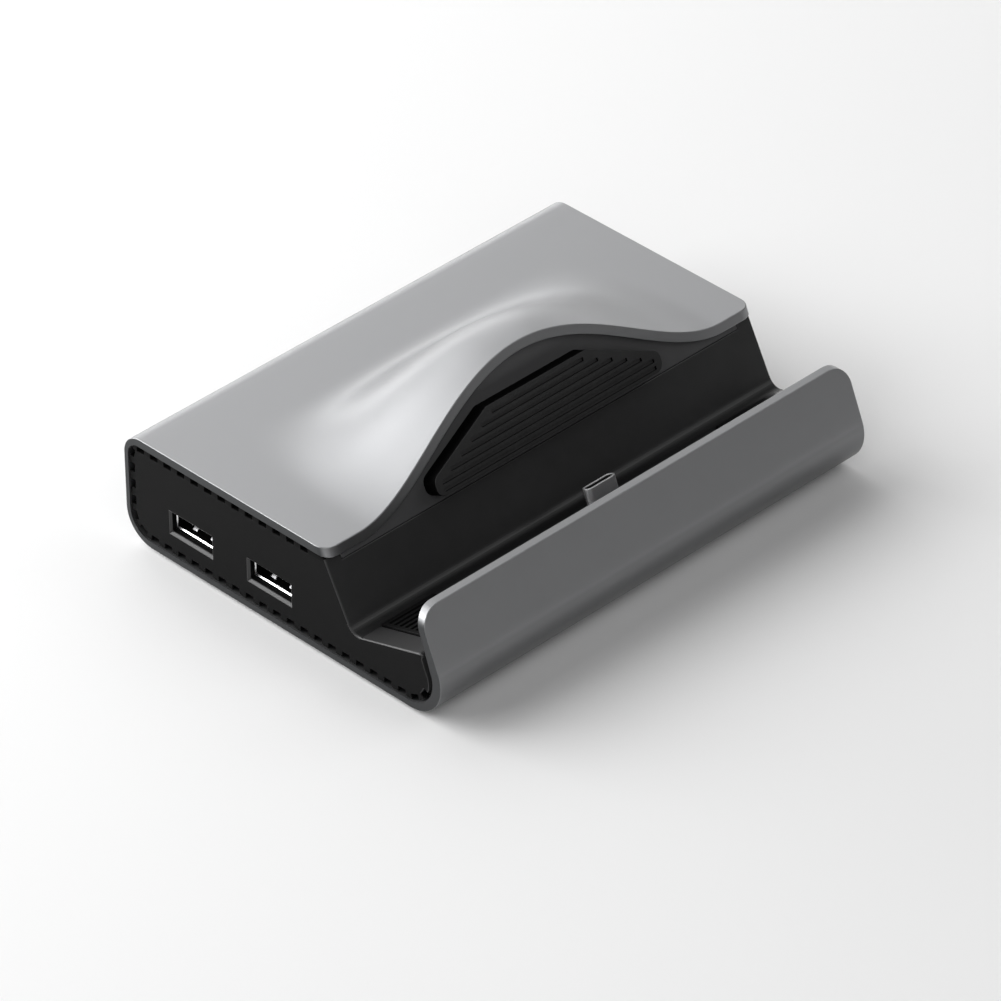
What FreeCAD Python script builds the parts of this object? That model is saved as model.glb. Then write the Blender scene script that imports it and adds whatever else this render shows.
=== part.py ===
import FreeCAD, Part
import math
import os

# Desk dock for a handheld game console.
# One aluminium shell wraps round a black moulded housing. Its top swells into a hump that backs the
# console, and its front turns up into a lip. Between them lie the slope, the ledge and the plug.
# X runs along the width, Y from the lip (negative) to the back, Z up. Millimetres and degrees.
# A setback is measured from the dock's front or back, and an end gap from either end.
# Pieces are drawn with the shell's underside at Z = 0, and saved standing on their feet.

# Shell
width = 123.0
depth = 92.0
deck_height = 26.0
plate = 2.0
back_wall = 1.3
floor = 1.7
back_top_radius = 5.0
back_low_radius = 7.5
plate_setback = 32.5
edge_lean = 23.0
plate_corner_radius = 3.0

# Lip
lip_thickness = 2.4
lip_lean = 22.5
lip_top = 24.6
lip_corner_radius = 5.0
lip_edge_radius = 0.5
toe_radius = 8.7

# Hump in the top plate
hump_rise = 17.4
hump_half_width = 52.0
hump_length = 41.5
hump_narrowing = 0.12
grid_step = 3.0
join_margin = 2.0

# Housing: slope, ledge and end walls
fit_gap = 0.15
end_recess = 0.3
end_wall = 1.8
wall = 1.8
seam_setback = 32.3
seam_drop = 4.1
slope_lean = 27.5
crease_z = 8.7
crease_radius = 3.0
ledge_rise = 16.4
ledge_tip_setback = 5.6
front_lean = 17.0
housing_toe_radius = 5.8
edge_round = 0.7

# Row of notches round the end walls
notch_pitch = 4.05
notch_width = 2.1
notch_depth = 1.3

# Insert under the hump, and its ribbed rest pad
rest_lean = 25.0
insert_end_gap = 4.5
insert_wall = 2.0
insert_depth = 12.0
insert_flange = 1.4
gusset_thickness = 1.4
gusset_pitch = 18.0
gusset_pairs = 2
pad_proud = 3.9
pad_half_width = 32.3
pad_top_half_width = 14.2
pad_low = 2.0
pad_side = 6.2
pad_top = 14.3
pad_corner_radius = 2.0
groove_pitch = 1.6
groove_width = 0.8
groove_depth = 0.6
groove_margin = 1.85
first_groove = 1.15

# Pads on the ledge
ledge_pad_end_gap = 6.0
ledge_pad_width = 14.5
ledge_pad_start = 2.6
ledge_pad_length = 14.5
ledge_pad_sunk = 0.8
ledge_pad_proud = 0.5

# Plug
plug_width = 8.34
plug_height = 2.56
plug_wall = 0.3
plug_lean = 22.5
plug_setback = 13.7
plug_exposed = 8.3
plug_cavity_depth = 5.6
plug_cavity_height = 0.8
plug_cavity_width = 6.7
carrier_width = 20.0
carrier_depth = 4.4
carrier_height = 2.6
plug_board_width = 18.0
plug_board_depth = 8.0
plug_board_thickness = 1.0

# Ribbon between the two boards
ribbon_width = 10.0
ribbon_thickness = 0.3
ribbon_bend = 1.5
ribbon_socket_depth = 4.0
ribbon_socket_height = 1.6

# Tray, main board and their fixings
tray_thickness = 1.6
tray_front_setback = 10.0
tray_back_setback = 9.0
tray_rib = 1.2
tray_rib_height = 1.2
board_thickness = 1.6
board_front_setback = 31.0
board_back_setback = 8.0
board_end_gap = 0.3
board_top = 7.0
post_x = 24.0
post_front = 5.0
post_back = 11.0
post_half_width = 2.6
pin_radius = 1.0
pin_rise = 1.0
case_screw_end_gap = 25.5
case_screw_front_setback = 17.0
case_screw_back_setback = 14.0
case_screw_radius = 1.25
case_screw_head_radius = 2.4
case_screw_head = 0.9
case_screw_length = 9.0
boss_half_width = 2.9
thread_gap = 0.05

# Sockets in the end walls
port_gap = 0.1
usb_width = 13.1
usb_height = 5.72
usb_length = 14.0
usb_rear_setback = 19.15
usb_front_setback = 42.4
video_width = 15.0
video_height = 5.6
video_length = 12.0
video_setback = 19.15
power_width = 8.94
power_height = 3.26
power_length = 7.35
power_setback = 40.5
socket_wall = 0.3
tongue_setback = 1.2
tongue_side_gap = 0.6
usb_tongue_height = 1.84
video_tongue_height = 1.2
power_tongue_height = 0.6
aperture_gap = 0.1
aperture_bevel = 0.6

# Chips, each set in from the main board's front or back edge
chip_leg = 0.05
chip_height = 0.9
hub_chip_x = -30.0
hub_chip_back = 24.0
hub_chip_side = 9.0
video_chip_x = 30.0
video_chip_back = 20.0
video_chip_side = 8.0
power_chip_x = 38.0
power_chip_front = 18.0
power_chip_side = 5.0
coil_x = 20.0
coil_front = 17.0
coil_side = 6.6
coil_height = 3.0

# Feet
foot_radius = 5.0
foot_proud = 0.8
foot_end_gap = 11.5
foot_front_setback = 19.0
foot_back_setback = 17.0

# Reach of a block that cuts, and how far a cut overshoots what it cuts
far = 200.0
overshoot = 1.0

# Sizes that follow from the ones above
half_width = width / 2
half_depth = depth / 2
plate_y = plate_setback - half_depth
toe_centre_y = -half_depth + toe_radius
toe_corner_y = toe_centre_y - toe_radius * math.tan(math.radians((90 + lip_lean) / 2))
lip_level = lip_thickness / math.cos(math.radians(lip_lean))
crest_y = plate_y + hump_rise * math.tan(math.radians(edge_lean))
hump_back = plate_y + hump_length
join_y = hump_back + join_margin
roof_z = deck_height - plate - fit_gap
base_z = floor + fit_gap
end_x = half_width - end_recess
inner_x = end_x - end_wall
slope_tan = math.tan(math.radians(slope_lean))
ledge_tan = math.tan(math.radians(ledge_rise))
seam_y = seam_setback - half_depth
seam_z = deck_height - seam_drop
ledge_tip_y = ledge_tip_setback - half_depth
plug_foot_y = plug_setback - half_depth
crease_y = seam_y - (seam_z - crease_z) * slope_tan
ledge_tip_z = crease_z + (crease_y - ledge_tip_y) * ledge_tan
plug_foot_z = crease_z + (crease_y - plug_foot_y) * ledge_tan
plug_tip_y = plug_foot_y + plug_exposed * math.sin(math.radians(plug_lean))
plug_tip_z = plug_foot_z + plug_exposed * math.cos(math.radians(plug_lean))
carrier_tilt = math.radians(plug_lean - ledge_rise)
carrier_drop = wall / math.cos(carrier_tilt) + carrier_depth / 2 * math.tan(carrier_tilt) + fit_gap
carrier_start = plug_exposed + carrier_drop
plug_end = carrier_start + carrier_height
insert_half_width = half_width - insert_end_gap
pocket_back = seam_y + insert_depth
ledge_pad_inner = half_width - ledge_pad_end_gap - ledge_pad_width
tray_front = tray_front_setback - half_depth
tray_back = half_depth - tray_back_setback
tray_top = base_z + tray_thickness
board_front = board_front_setback - half_depth
board_back = half_depth - board_back_setback
board_under = board_top - board_thickness
board_half = inner_x - board_end_gap
usb_rear_y = half_depth - usb_rear_setback
usb_front_y = half_depth - usb_front_setback
video_y = half_depth - video_setback
power_y = half_depth - power_setback


def in_yz(a, b, n):
    return FreeCAD.Vector(n, a, b)


def in_xy(a, b, n):
    return FreeCAD.Vector(a, b, n)


def in_xz(a, b, n):
    return FreeCAD.Vector(a, n, b)


def rounded_wire(corners, plane, level):
    """Closed outline with a rounded corner at each (a, b, radius)."""
    spans = []
    for i, (a, b, radius) in enumerate(corners):
        here = plane(a, b, level)
        before = plane(corners[i - 1][0], corners[i - 1][1], level) - here
        after_corner = corners[(i + 1) % len(corners)]
        after = plane(after_corner[0], after_corner[1], level) - here
        half_angle = before.getAngle(after) / 2
        before.normalize()
        after.normalize()
        reach = radius / math.tan(half_angle)
        bisector = (before + after).normalize()
        middle = here + bisector * (radius / math.sin(half_angle) - radius)
        spans.append((here + before * reach, middle, here + after * reach, radius))
    edges = []
    for i, (start, middle, end, radius) in enumerate(spans):
        if radius > 0:
            edges.append(Part.Arc(start, middle, end).toShape())
        next_start = spans[(i + 1) % len(spans)][0]
        if end.distanceToPoint(next_start) > 1e-6:
            edges.append(Part.LineSegment(end, next_start).toShape())
    return Part.Wire(edges)


def extruded(corners, plane, start, end):
    face = Part.Face(rounded_wire(corners, plane, start))
    return face.extrude(plane(0, 0, end - start))


def rectangle(a, b, size_a, size_b, radius):
    """Corners of a rectangle centred on (a, b)."""
    left, right = a - size_a / 2, a + size_a / 2
    low, high = b - size_b / 2, b + size_b / 2
    return [(left, low, radius), (right, low, radius), (right, high, radius), (left, high, radius)]


def box(x0, x1, y0, y1, z0, z1):
    return Part.makeBox(x1 - x0, y1 - y0, z1 - z0, FreeCAD.Vector(x0, y0, z0))


def post(x, y, z0, z1, half):
    return box(x - half, x + half, y - half, y + half, z0, z1)


def cylinder(x, y, z0, z1, radius):
    return Part.makeCylinder(radius, z1 - z0, FreeCAD.Vector(x, y, z0))


def leaned(shape, lean, y, z):
    """Turn an upright shape back by its lean and stand it at (y, z)."""
    turned = shape.copy()
    turned.rotate(FreeCAD.Vector(0, 0, 0), FreeCAD.Vector(1, 0, 0), -lean)
    turned.translate(FreeCAD.Vector(0, y, z))
    return turned


def mirrored(shape):
    return shape.mirror(FreeCAD.Vector(0, 0, 0), FreeCAD.Vector(1, 0, 0))


def corner_waste(radius):
    """What is cut away to round the corner at the origin of a body that lies in -X and -Y."""
    block = box(-radius, far, -radius, far, -far, far)
    return block.cut(cylinder(-radius, -radius, -far, far, radius))


# Humped top plate

def hump_at(x, y):
    """How far the plate rises: nearly level across the crest, then steeply down behind it."""
    along = (y - crest_y) / (hump_back - crest_y)
    reach = hump_half_width * (1 - hump_narrowing * max(along, 0) ** 2)
    across = x / reach
    return hump_rise * max(1 - across ** 2, 0) ** 2 * max(1 - abs(along) ** 3, 0) ** 3


def plate_level(x, y, drop):
    """Height of the plate's top, or of the layer that lies square below it by the drop."""
    step = 0.01
    slope_x = (hump_at(x + step, y) - hump_at(x - step, y)) / (2 * step)
    slope_y = (hump_at(x, y + step) - hump_at(x, y - step)) / (2 * step)
    return deck_height + hump_at(x, y) - drop * math.sqrt(1 + slope_x ** 2 + slope_y ** 2)


def spread(low, high):
    count = math.ceil((high - low) / grid_step)
    return [low + (high - low) * i / count for i in range(count + 1)]


def below_plate(drop, margin):
    """Everything under the plate's surface, or under the layer that lies below it by the drop."""
    xs = spread(-half_width - margin, half_width + margin)
    ys = spread(plate_y - 2 * plate - margin, join_y + margin)
    surface = Part.BSplineSurface()
    surface.interpolate([[FreeCAD.Vector(x, y, plate_level(x, y, drop)) for y in ys] for x in xs])
    return surface.toShape().extrude(FreeCAD.Vector(0, 0, -far / 4))


def humped_plate():
    slab = below_plate(0, 0).cut(below_plate(plate, plate))
    slab = slab.cut(leaned(box(-far, far, -far, 0, -far, far), edge_lean, plate_y, deck_height))
    corner = corner_waste(plate_corner_radius)
    corner.rotate(FreeCAD.Vector(0, 0, 0), FreeCAD.Vector(0, 0, 1), -90)
    corner = leaned(corner, edge_lean, plate_y, deck_height)
    corner.translate(FreeCAD.Vector(half_width, 0, 0))
    return slab.cut([corner, mirrored(corner)])


# Metal shell

def lip_face_y(z):
    return toe_corner_y + z * math.tan(math.radians(lip_lean))


def shell_wrap():
    section = [
        (join_y, deck_height, 0),
        (half_depth, deck_height, back_top_radius),
        (half_depth, 0, back_low_radius),
        (toe_corner_y, 0, toe_radius),
        (lip_face_y(lip_top), lip_top, lip_edge_radius),
        (lip_face_y(lip_top) + lip_level, lip_top, lip_edge_radius),
        (lip_face_y(floor) + lip_level, floor, toe_radius - floor),
        (half_depth - back_wall, floor, back_low_radius - floor),
        (half_depth - back_wall, deck_height - plate, back_top_radius - plate),
        (join_y, deck_height - plate, 0),
    ]
    return extruded(section, in_yz, -half_width, half_width)


def four_spots(end_gap, front_setback, back_setback):
    x = half_width - end_gap
    front, back = front_setback - half_depth, half_depth - back_setback
    return [(-x, front), (x, front), (-x, back), (x, back)]


def case_screw_spots():
    return four_spots(case_screw_end_gap, case_screw_front_setback, case_screw_back_setback)


def metal_shell():
    corner = corner_waste(lip_corner_radius)
    corner.rotate(FreeCAD.Vector(0, 0, 0), FreeCAD.Vector(1, 0, 0), 90)
    corner = leaned(corner, lip_lean, lip_face_y(lip_top), lip_top)
    corner.translate(FreeCAD.Vector(half_width, 0, 0))
    corner = corner.common(box(-far, far, -far, plate_y, -far, far))
    shell = shell_wrap().cut([corner, mirrored(corner)])
    shell = shell.fuse(humped_plate()).removeSplitter()
    holes = []
    for x, y in case_screw_spots():
        holes.append(cylinder(x, y, -overshoot, case_screw_head, case_screw_head_radius + fit_gap))
        holes.append(cylinder(x, y, -overshoot, floor + overshoot, case_screw_radius + fit_gap))
    return shell.cut(holes)


# Housing

def housing_outline():
    slope_top_y = seam_y + (roof_z - seam_z) * slope_tan
    front_foot_y = ledge_tip_y - (ledge_tip_z - base_z) * math.tan(math.radians(front_lean))
    back_y = half_depth - back_wall - fit_gap
    return [
        (slope_top_y, roof_z, edge_round),
        (back_y, roof_z, back_top_radius - plate),
        (back_y, base_z, back_low_radius - floor),
        (front_foot_y, base_z, housing_toe_radius),
        (ledge_tip_y, ledge_tip_z, edge_round),
        (crease_y, crease_z, crease_radius),
    ]


def inset(corners, amount):
    """The same outline, listed clockwise in (a, b), moved inwards by one wall."""
    moved = []
    count = len(corners)
    for i in range(count):
        before, here, after = corners[i - 1], corners[i], corners[(i + 1) % count]
        angle_in = math.atan2(here[1] - before[1], here[0] - before[0])
        angle_out = math.atan2(after[1] - here[1], after[0] - here[0])
        turn = (angle_out - angle_in + math.pi) % (2 * math.pi) - math.pi
        mid = (angle_in + turn / 2) - math.pi / 2
        reach = amount / math.cos(turn / 2)
        radius = here[2] - amount if turn < 0 else here[2] + amount
        moved.append((here[0] + reach * math.cos(mid), here[1] + reach * math.sin(mid), max(radius, 0)))
    return moved


def notches():
    """Blocks that notch the end walls where they meet the shell."""
    outline = rounded_wire(housing_outline(), in_yz, 0)
    count = round(outline.Length / notch_pitch)
    points = outline.discretize(Number=4 * count + 1)
    half = notch_width / 2
    block = box(inner_x, end_x + overshoot, -half, half, -notch_depth, notch_depth)
    blocks = []
    for i in range(2, 4 * count - 2, 4):
        point = points[i]
        along = points[i + 1] - points[i - 1]
        on_roof = point.z > roof_z - edge_round and point.y > seam_y + notch_pitch
        low_front = point.z < crease_z - crease_radius
        if on_roof or low_front or point.y > 0:
            tilt = math.degrees(math.atan2(along.z, along.y))
            notch = block.copy()
            notch.rotate(FreeCAD.Vector(0, 0, 0), FreeCAD.Vector(1, 0, 0), tilt)
            notch.translate(point)
            blocks.append(notch)
            blocks.append(mirrored(notch))
    return blocks


def pocket():
    """Room for the insert: the roof is open above the seam, over a sunk floor."""
    side = insert_half_width + fit_gap
    return box(-side, side, -far, pocket_back + fit_gap, seam_z, far)


def pocket_floor():
    side = insert_half_width + fit_gap + wall
    back = pocket_back + fit_gap + wall
    slab = box(-side, side, -far, back, seam_z - wall, seam_z)
    rear = box(-side, side, back - wall, back, seam_z - wall, roof_z)
    return slab.fuse(rear)


def ledge_pad_block(height, slack):
    """A ledge pad's footprint on the right, from its sunk underside to a height above the ledge."""
    block = box(
        ledge_pad_inner - slack, ledge_pad_inner + ledge_pad_width + slack,
        -ledge_pad_start - ledge_pad_length - slack, -ledge_pad_start + slack,
        -ledge_pad_sunk, height)
    return leaned(block, ledge_rise, crease_y, crease_z)


def plug_bar(width_now, height_now, start, end):
    """A bar of the plug's oval section; start and end are measured down from its tip."""
    corners = rectangle(0, 0, width_now, height_now, height_now / 2)
    return leaned(extruded(corners, in_xy, -end, -start), plug_lean, plug_tip_y, plug_tip_z)


def aperture(y, z, size_y, size_z, radius, side):
    """Opening for a socket in an end wall, with a bevel round its mouth."""
    hole = extruded(rectangle(y, z, size_y, size_z, radius), in_yz, inner_x - overshoot, end_x + overshoot)
    inner = rounded_wire(rectangle(y, z, size_y, size_z, radius), in_yz, end_x - aperture_bevel)
    wide_y = size_y + 4 * aperture_bevel
    wide_z = size_z + 4 * aperture_bevel
    wide_corners = rectangle(y, z, wide_y, wide_z, radius + 2 * aperture_bevel if radius else 0)
    outer = rounded_wire(wide_corners, in_yz, end_x + aperture_bevel)
    opening = hole.fuse(Part.makeLoft([inner, outer], True, True))
    return opening if side > 0 else mirrored(opening)


def port_z(height):
    return board_top + height / 2


def apertures():
    slack = 2 * aperture_gap
    usb_size = (usb_width + slack, usb_height + slack)
    openings = [aperture(y, port_z(usb_height), *usb_size, 0, -1) for y in (usb_rear_y, usb_front_y)]
    video_size = (video_width + slack, video_height + slack)
    openings.append(aperture(video_y, port_z(video_height), *video_size, 0, 1))
    power_size = (power_width + slack, power_height + slack)
    power_round = power_height / 2
    openings.append(aperture(power_y, port_z(power_height), *power_size, power_round, 1))
    return openings


def housing():
    body = extruded(housing_outline(), in_yz, -end_x, end_x)
    cavity = extruded(inset(housing_outline(), wall), in_yz, -inner_x, inner_x)
    floor_part = pocket_floor().common(cavity)
    shell = body.cut(cavity).fuse(floor_part)
    window = box(-inner_x, inner_x, tray_front, tray_back, -overshoot, base_z + wall)
    bosses = []
    bores = []
    for x, y in case_screw_spots():
        bosses.append(post(x, y, tray_top + fit_gap, deck_height, boss_half_width).common(cavity))
        bores.append(cylinder(x, y, 0, case_screw_length, case_screw_radius + thread_gap))
    shell = shell.fuse(bosses)
    pad_hole = ledge_pad_block(far / 10, fit_gap)
    slot = plug_bar(plug_width + 4 * fit_gap, plug_height + 4 * fit_gap, -overshoot, plug_end)
    cuts = [window, pocket(), pad_hole, mirrored(pad_hole), slot]
    return shell.cut(cuts + bores + notches() + apertures())


# Insert and rest pad

def rest_insert():
    face_plate = box(-insert_half_width, insert_half_width, 0, insert_wall, -far / 10, far / 4)
    behind = box(-far, far, 0, far, -far, far)
    level = seam_z + fit_gap
    back = pocket_back
    body = leaned(face_plate, rest_lean, seam_y, seam_z)
    base = box(-insert_half_width, insert_half_width, seam_y, back, level, level + insert_flange)
    ribs = []
    for i in range(-gusset_pairs, gusset_pairs + 1):
        left = i * gusset_pitch - gusset_thickness / 2
        ribs.append(box(left, left + gusset_thickness, seam_y, back, level, far / 4))
    body = body.fuse([base] + ribs)
    body = body.common(leaned(behind, rest_lean, seam_y, seam_z))
    body = body.common(box(-far, far, -far, back, level, far))
    return body.common(below_plate(plate + fit_gap, plate))


def groove_reach(height):
    """Half a groove's length: it stops one margin short of the pad's slanted and upright ends."""
    rise, run = pad_top - pad_side, pad_half_width - pad_top_half_width
    slanted_end = pad_half_width - (height - pad_side) * run / rise
    return min(slanted_end - groove_margin * math.hypot(rise, run) / rise, pad_half_width - groove_margin)


def rest_pad():
    outline = [
        (-pad_half_width, pad_low, pad_corner_radius),
        (pad_half_width, pad_low, pad_corner_radius),
        (pad_half_width, pad_side, pad_corner_radius),
        (pad_top_half_width, pad_top, pad_corner_radius),
        (-pad_top_half_width, pad_top, pad_corner_radius),
        (-pad_half_width, pad_side, pad_corner_radius),
    ]
    block = extruded(outline, in_xz, -pad_proud, -fit_gap / 2)
    cuts = []
    floor_y = -pad_proud + groove_depth
    last = math.floor((pad_top - pad_low - 2 * first_groove) / groove_pitch)
    for i in range(last + 1):
        height = pad_low + first_groove + i * groove_pitch
        reach = groove_reach(height)
        low, high = height - groove_width / 2, height + groove_width / 2
        cuts.append(box(-reach, reach, -far / 10, floor_y, low, high))
    return leaned(block.cut(cuts), rest_lean, seam_y, seam_z)


def ledge_pad_right():
    block = ledge_pad_block(ledge_pad_proud, 0)
    cuts = []
    for i in range(1, math.floor(ledge_pad_length / groove_pitch)):
        y = -ledge_pad_start - i * groove_pitch
        start = ledge_pad_inner + groove_margin / 2
        end = ledge_pad_inner + ledge_pad_width - groove_margin / 2
        groove = box(start, end, y - groove_width / 2, y + groove_width / 2, 0, far / 10)
        cuts.append(leaned(groove, ledge_rise, crease_y, crease_z))
    return block.cut(cuts)


def ledge_pad_left():
    return mirrored(ledge_pad_right())


# Plug, its carrier, its board and the ribbon

def plug_shell():
    outer = plug_bar(plug_width, plug_height, 0, plug_end)
    bore = plug_bar(plug_width - 2 * plug_wall, plug_height - 2 * plug_wall, -overshoot, far / 10)
    return outer.cut(bore)


def plug_insulator():
    slack = 2 * (plug_wall + thread_gap)
    core = plug_bar(plug_width - slack, plug_height - slack, 2 * thread_gap, plug_end)
    cavity = extruded(
        rectangle(0, 0, plug_cavity_width, plug_cavity_height, 0), in_xy, -plug_cavity_depth, overshoot)
    return core.cut(leaned(cavity, plug_lean, plug_tip_y, plug_tip_z))


def leaned_block(width_now, front, back, start, end):
    """A block square to the plug, measured from its tip: down it, and to either side in Y."""
    block = box(-width_now / 2, width_now / 2, front, back, -end, -start)
    return leaned(block, plug_lean, plug_tip_y, plug_tip_z)


def plug_carrier():
    block = leaned_block(carrier_width, -carrier_depth / 2, carrier_depth / 2, carrier_start, plug_end)
    slot = plug_bar(plug_width + 2 * thread_gap, plug_height + 2 * thread_gap, 0, plug_end + overshoot)
    return block.cut(slot)


def plug_board():
    start = plug_end + thread_gap
    front = -carrier_depth / 2
    return leaned_block(
        plug_board_width, front, front + plug_board_depth, start, start + plug_board_thickness)


def plug_rest():
    """Part of the tray: the block that takes the push on the plug."""
    start = plug_end + thread_gap + plug_board_thickness + fit_gap
    front = -carrier_depth / 2
    block = leaned_block(plug_board_width, front + wall, front + plug_board_depth - wall, start, far / 10)
    return block.common(box(-far, far, tray_front + fit_gap, far, base_z, far))


def ribbon_start():
    """Point on the plug board's upper face, behind the carrier."""
    lean = math.radians(plug_lean)
    down = plug_end
    behind = carrier_depth / 2 + 2 * fit_gap
    y = plug_tip_y - down * math.sin(lean) + behind * math.cos(lean)
    z = plug_tip_z - down * math.cos(lean) - behind * math.sin(lean)
    return y, z


def ribbon_cable():
    lean = math.radians(plug_lean)
    y0, z0 = ribbon_start()
    run = plug_board_depth - carrier_depth
    y1, z1 = y0 + run * math.cos(lean), z0 - run * math.sin(lean)
    z2 = board_top + ribbon_socket_height / 2 - ribbon_thickness / 2
    y2 = board_front - 2 * ribbon_bend
    y3 = board_front + ribbon_socket_depth / 2
    wide_bend = ribbon_bend + ribbon_thickness
    lift = ribbon_thickness / math.cos(lean)
    outline = [
        (y0, z0, 0),
        (y1, z1, wide_bend),
        (y2, z2, ribbon_bend),
        (y3, z2, 0),
        (y3, z2 + ribbon_thickness, 0),
        (y2, z2 + ribbon_thickness, wide_bend),
        (y1, z1 + lift, ribbon_bend),
        (y0, z0 + lift, 0),
    ]
    return extruded(outline, in_yz, -ribbon_width / 2, ribbon_width / 2)


def ribbon_socket():
    half = ribbon_width / 2 + ribbon_socket_height
    front = board_front
    top = board_top + ribbon_socket_height
    body = box(-half, half, front, front + ribbon_socket_depth, board_top + chip_leg, top)
    middle = board_top + ribbon_socket_height / 2
    gap = ribbon_thickness / 2 + thread_gap
    reach = ribbon_width / 2 + thread_gap
    back = front + ribbon_socket_depth / 2 + thread_gap
    return body.cut(box(-reach, reach, -far, back, middle - gap, middle + gap))


# Tray and boards

def post_spots():
    rows = (board_front + post_front, board_back - post_back)
    return [(x, y) for y in rows for x in (-post_x, post_x)]


def base_tray():
    side = inner_x - fit_gap
    front, back = tray_front + fit_gap, tray_back - fit_gap
    plate_part = box(-side, side, front, back, base_z, tray_top)
    top = tray_top + tray_rib_height
    ring = box(-side, side, front, back, tray_top, top)
    ring = ring.cut(box(
        -side + tray_rib, side - tray_rib, front + tray_rib, back - tray_rib, tray_top, top))
    posts = [post(x, y, tray_top, board_under, post_half_width) for x, y in post_spots()]
    pins = [cylinder(x, y, board_under, board_top + pin_rise, pin_radius) for x, y in post_spots()]
    tray = plate_part.fuse([ring, plug_rest()] + posts + pins)
    bore = case_screw_radius + fit_gap
    return tray.cut([cylinder(x, y, 0, tray_top, bore) for x, y in case_screw_spots()])


def main_board():
    board = box(-board_half, board_half, board_front, board_back, board_under, board_top)
    holes = [cylinder(x, y, 0, far / 10, pin_radius + fit_gap) for x, y in post_spots()]
    clear = boss_half_width + 2 * fit_gap
    holes += [post(x, y, 0, far / 10, clear) for x, y in case_screw_spots()]
    return board.cut(holes)


def case_screws():
    screws = []
    for x, y in case_screw_spots():
        shank = cylinder(x, y, case_screw_head, case_screw_length - fit_gap, case_screw_radius)
        screws.append(shank.fuse(cylinder(x, y, thread_gap, case_screw_head, case_screw_head_radius)))
    return Part.makeCompound(screws)


def chip(x, y, side, height):
    low = board_top + chip_leg
    return post(x, y, low, low + height, side / 2)


# Sockets

def socket_can(y, width_now, height_now, length, radius):
    """A folded metal socket on the right: a can closed at its inner end."""
    mouth = inner_x - port_gap
    z = port_z(height_now) + chip_leg
    outer = extruded(rectangle(y, z, width_now, height_now, radius), in_yz, mouth - length, mouth)
    inner_size = (width_now - 2 * socket_wall, height_now - 2 * socket_wall)
    inner_corners = rectangle(y, z, *inner_size, max(radius - socket_wall, 0))
    inner = extruded(inner_corners, in_yz, mouth - length + socket_wall, mouth + overshoot)
    return outer.cut(inner)


def socket_tongue(y, z, height_now, length, tongue_width, tongue_height, block_width, block_height):
    """The contact tongue on its block, against the inner end of a can on the right."""
    mouth = inner_x - port_gap
    back = mouth - length + socket_wall + thread_gap
    centre = port_z(height_now) + chip_leg
    block = box(
        back, back + length / 3, y - block_width / 2, y + block_width / 2,
        centre - block_height / 2, centre + block_height / 2)
    tongue = box(
        back, mouth - tongue_setback, y - tongue_width / 2, y + tongue_width / 2,
        centre + z - tongue_height / 2, centre + z + tongue_height / 2)
    return block.fuse(tongue)


def usb_socket(y):
    return mirrored(socket_can(y, usb_width, usb_height, usb_length, socket_wall))


def usb_tongue(y):
    rise = usb_height / 4 - socket_wall / 2
    room = usb_width - 2 * socket_wall - 2 * thread_gap
    tall = usb_height - 2 * socket_wall - 2 * thread_gap
    across = room - 2 * tongue_side_gap
    return mirrored(
        socket_tongue(y, rise, usb_height, usb_length, across, usb_tongue_height, room, tall))


def video_socket():
    mouth = inner_x - port_gap
    z = port_z(video_height) + chip_leg
    half, tall = video_width / 2, video_height / 2
    slant = video_height / 4
    outline = [
        (video_y - half, z + tall, socket_wall),
        (video_y + half, z + tall, socket_wall),
        (video_y + half, z - tall + slant, socket_wall),
        (video_y + half - slant, z - tall, socket_wall),
        (video_y - half + slant, z - tall, socket_wall),
        (video_y - half, z - tall + slant, socket_wall),
    ]
    outer = extruded(outline, in_yz, mouth - video_length, mouth)
    inner = extruded(
        inset(outline, socket_wall), in_yz, mouth - video_length + socket_wall, mouth + overshoot)
    return outer.cut(inner)


def video_tongue():
    room = video_width - 2 * video_height / 4 - 2 * socket_wall
    tall = video_height - 2 * socket_wall - 2 * thread_gap
    across = room - 2 * tongue_side_gap
    return socket_tongue(
        video_y, 0, video_height, video_length, across, video_tongue_height, room, tall)


def power_socket():
    return socket_can(power_y, power_width, power_height, power_length, power_height / 2)


def power_tongue():
    room = power_width - power_height
    tall = power_height - 2 * socket_wall - 2 * thread_gap
    across = plug_cavity_width - 2 * fit_gap
    return socket_tongue(
        power_y, 0, power_height, power_length, across, power_tongue_height, room, tall)


# Feet

def feet():
    discs = []
    for x, y in four_spots(foot_end_gap, foot_front_setback, foot_back_setback):
        disc = cylinder(x, y, -foot_proud, 0, foot_radius)
        rim = [edge for edge in disc.Edges if edge.BoundBox.ZMax < -foot_proud / 2]
        discs.append(disc.makeChamfer(foot_proud / 2, rim))
    return Part.makeCompound(discs)


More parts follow.
